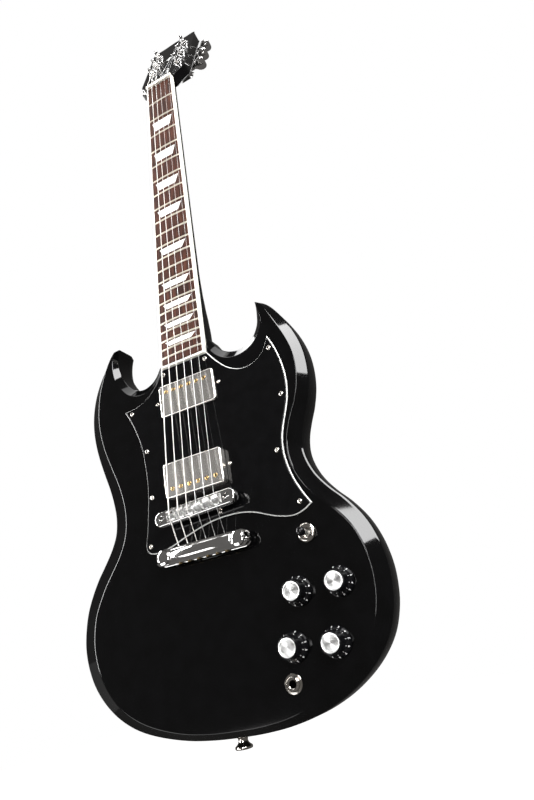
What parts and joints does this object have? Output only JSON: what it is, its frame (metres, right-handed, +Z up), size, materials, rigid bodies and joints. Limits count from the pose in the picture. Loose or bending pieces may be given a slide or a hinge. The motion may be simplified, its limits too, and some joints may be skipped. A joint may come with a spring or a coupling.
{
  "type": "electric guitar",
  "caption": "Solid-body double-cutaway electric guitar with humbucking pickups, turning tuners and knobs, sliding bridge saddles and a pickup switch.",
  "frame": {"origin": "centre of the end strap button's outer face, at the bottom of the body", "axes": "+Z up the body towards the headstock, the front faces -Y, the treble side is +X"},
  "size_m": [0.3292, 0.1374, 1.0072],
  "materials": {
    "black_lacquer": "solid mahogany under gloss black lacquer",
    "rosewood": "oiled dark rosewood with nickel-silver fret crowns",
    "ivory_binding": "ivory-white binding",
    "bone": "bone-white nut",
    "truss_steel": "plain steel rod",
    "cover_plastic": "black plastic plate",
    "guard_plastic": "black laminate with a bevelled white core at its edge",
    "nickel": "warm polished nickel plate",
    "coil_plastic": "black bobbins",
    "chrome": "polished chrome plate",
    "saddle_metal": "plated saddle",
    "string_steel": "nickel-wound and plain steel strings",
    "knob_plastic": "black knob with a brushed metal cap",
    "circuit_board": "green circuit board with metal potentiometers",
    "lever_plastic": "metal lever with a black tip"
  },
  "bodies": {
    "guitar": {"body": "black_lacquer", "bridge_body": "chrome", "bridge_pickup_coils": "coil_plastic", "bridge_pickup_cover": "nickel", "bridge_post_bass": "chrome", "bridge_post_treble": "chrome", "control_board": "circuit_board", "control_cavity_cover": "cover_plastic", "fretboard": "rosewood", "fretboard_binding": "ivory_binding", "neck": "black_lacquer", "neck_pickup_coils": "coil_plastic", "neck_pickup_cover": "nickel", "nut": "bone", "output_jack": "nickel", "pickguard": "guard_plastic", "strap_button_end": "nickel", "strap_button_heel": "nickel", "string_1": "string_steel", "string_2": "string_steel", "string_3": "string_steel", "string_4": "string_steel", "string_5": "string_steel", "string_6": "string_steel", "switch_body": "nickel", "tailpiece": "chrome", "tailpiece_stud_bass": "chrome", "tailpiece_stud_treble": "chrome", "truss_rod": "truss_steel", "truss_rod_cover": "cover_plastic", "tuner_housing_1": "chrome", "tuner_housing_2": "chrome", "tuner_housing_3": "chrome", "tuner_housing_4": "chrome", "tuner_housing_5": "chrome", "tuner_housing_6": "chrome"},
    "saddle_1": {"saddle_1": "saddle_metal"},
    "saddle_2": {"saddle_2": "saddle_metal"},
    "saddle_3": {"saddle_3": "saddle_metal"},
    "saddle_4": {"saddle_4": "saddle_metal"},
    "saddle_5": {"saddle_5": "saddle_metal"},
    "saddle_6": {"saddle_6": "saddle_metal"},
    "neck_volume_knob": {"neck_volume_knob": "knob_plastic"},
    "bridge_volume_knob": {"bridge_volume_knob": "knob_plastic"},
    "neck_tone_knob": {"neck_tone_knob": "knob_plastic"},
    "bridge_tone_knob": {"bridge_tone_knob": "knob_plastic"},
    "toggle_lever": {"toggle_lever": "lever_plastic"},
    "tuner_button_1": {"tuner_button_1": "chrome"},
    "tuner_button_2": {"tuner_button_2": "chrome"},
    "tuner_button_3": {"tuner_button_3": "chrome"},
    "tuner_button_4": {"tuner_button_4": "chrome"},
    "tuner_button_5": {"tuner_button_5": "chrome"},
    "tuner_button_6": {"tuner_button_6": "chrome"},
    "tuner_post_1": {"tuner_post_1": "chrome"},
    "tuner_post_2": {"tuner_post_2": "chrome"},
    "tuner_post_3": {"tuner_post_3": "chrome"},
    "tuner_post_4": {"tuner_post_4": "chrome"},
    "tuner_post_5": {"tuner_post_5": "chrome"},
    "tuner_post_6": {"tuner_post_6": "chrome"}
  },
  "joints": [
    {"name": "tuner_button_1_turn", "type": "hinge", "parent": "guitar", "child": "tuner_button_1", "pos_m": [-0.0177, 0.05952, 0.89732], "axis": [-1, 0, 0], "continuous": true},
    {"name": "tuner_post_1_turn", "type": "hinge", "parent": "guitar", "child": "tuner_post_1", "pos_m": [-0.0223, 0.03776, 0.89682], "axis": [0, -0.9276, 0.3736], "continuous": true},
    {"name": "tuner_button_2_turn", "type": "hinge", "parent": "guitar", "child": "tuner_button_2", "pos_m": [-0.0184, 0.07417, 0.93368], "axis": [-1, 0, 0], "continuous": true},
    {"name": "tuner_post_2_turn", "type": "hinge", "parent": "guitar", "child": "tuner_post_2", "pos_m": [-0.023, 0.05241, 0.93318], "axis": [0, -0.9276, 0.3736], "continuous": true},
    {"name": "tuner_button_3_turn", "type": "hinge", "parent": "guitar", "child": "tuner_button_3", "pos_m": [-0.0191, 0.08882, 0.97004], "axis": [-1, 0, 0], "continuous": true},
    {"name": "tuner_post_3_turn", "type": "hinge", "parent": "guitar", "child": "tuner_post_3", "pos_m": [-0.0237, 0.06705, 0.96954], "axis": [0, -0.9276, 0.3736], "continuous": true},
    {"name": "tuner_button_6_turn", "type": "hinge", "parent": "guitar", "child": "tuner_button_6", "pos_m": [0.0177, 0.05952, 0.89732], "axis": [1, 0, 0], "continuous": true},
    {"name": "tuner_post_6_turn", "type": "hinge", "parent": "guitar", "child": "tuner_post_6", "pos_m": [0.0223, 0.03776, 0.89682], "axis": [0, -0.9276, 0.3736], "continuous": true},
    {"name": "tuner_button_5_turn", "type": "hinge", "parent": "guitar", "child": "tuner_button_5", "pos_m": [0.0184, 0.07417, 0.93368], "axis": [1, 0, 0], "continuous": true},
    {"name": "tuner_post_5_turn", "type": "hinge", "parent": "guitar", "child": "tuner_post_5", "pos_m": [0.023, 0.05241, 0.93318], "axis": [0, -0.9276, 0.3736], "continuous": true},
    {"name": "tuner_button_4_turn", "type": "hinge", "parent": "guitar", "child": "tuner_button_4", "pos_m": [0.0191, 0.08882, 0.97004], "axis": [1, 0, 0], "continuous": true},
    {"name": "tuner_post_4_turn", "type": "hinge", "parent": "guitar", "child": "tuner_post_4", "pos_m": [0.0237, 0.06705, 0.96954], "axis": [0, -0.9276, 0.3736], "continuous": true},
    {"name": "neck_volume_knob_turn", "type": "hinge", "parent": "guitar", "child": "neck_volume_knob", "pos_m": [0.085, -0.0175, 0.117], "axis": [0, -1, 0], "range_deg": [-300, 0]},
    {"name": "bridge_volume_knob_turn", "type": "hinge", "parent": "guitar", "child": "bridge_volume_knob", "pos_m": [0.1245, -0.0175, 0.1175], "axis": [0, -1, 0], "range_deg": [-300, 0]},
    {"name": "neck_tone_knob_turn", "type": "hinge", "parent": "guitar", "child": "neck_tone_knob", "pos_m": [0.0725, -0.0175, 0.0735], "axis": [0, -1, 0], "range_deg": [-300, 0]},
    {"name": "bridge_tone_knob_turn", "type": "hinge", "parent": "guitar", "child": "bridge_tone_knob", "pos_m": [0.111, -0.0175, 0.071], "axis": [0, -1, 0], "range_deg": [-300, 0]},
    {"name": "pickup_switch", "type": "hinge", "parent": "guitar", "child": "toggle_lever", "pos_m": [0.103, -0.0155, 0.164], "axis": [1, 0, 0], "range_deg": [-14, 14]},
    {"name": "saddle_1_slide", "type": "slide", "parent": "guitar", "child": "saddle_1", "axis": [-0.0489, 0, 0.9988], "range_m": [-0.0023, 0.0027], "deforming": ["string_1"]},
    {"name": "saddle_2_slide", "type": "slide", "parent": "guitar", "child": "saddle_2", "axis": [-0.0489, 0, 0.9988], "range_m": [-0.0028, 0.0022], "deforming": ["string_2"]},
    {"name": "saddle_3_slide", "type": "slide", "parent": "guitar", "child": "saddle_3", "axis": [-0.0489, 0, 0.9988], "range_m": [-0.0033, 0.0017], "deforming": ["string_3"]},
    {"name": "saddle_4_slide", "type": "slide", "parent": "guitar", "child": "saddle_4", "axis": [-0.0489, 0, 0.9988], "range_m": [-0.0016, 0.0034], "deforming": ["string_4"]},
    {"name": "saddle_5_slide", "type": "slide", "parent": "guitar", "child": "saddle_5", "axis": [-0.0489, 0, 0.9988], "range_m": [-0.002, 0.003], "deforming": ["string_5"]},
    {"name": "saddle_6_slide", "type": "slide", "parent": "guitar", "child": "saddle_6", "axis": [-0.0489, 0, 0.9988], "range_m": [-0.0023, 0.0027], "deforming": ["string_6"]}
  ],
  "couplings": [
    {"joint": "tuner_post_1_turn", "follows": "tuner_button_1_turn", "ratio": -0.071429},
    {"joint": "tuner_post_2_turn", "follows": "tuner_button_2_turn", "ratio": -0.071429},
    {"joint": "tuner_post_3_turn", "follows": "tuner_button_3_turn", "ratio": -0.071429},
    {"joint": "tuner_post_6_turn", "follows": "tuner_button_6_turn", "ratio": 0.071429},
    {"joint": "tuner_post_5_turn", "follows": "tuner_button_5_turn", "ratio": 0.071429},
    {"joint": "tuner_post_4_turn", "follows": "tuner_button_4_turn", "ratio": 0.071429}
  ]
}
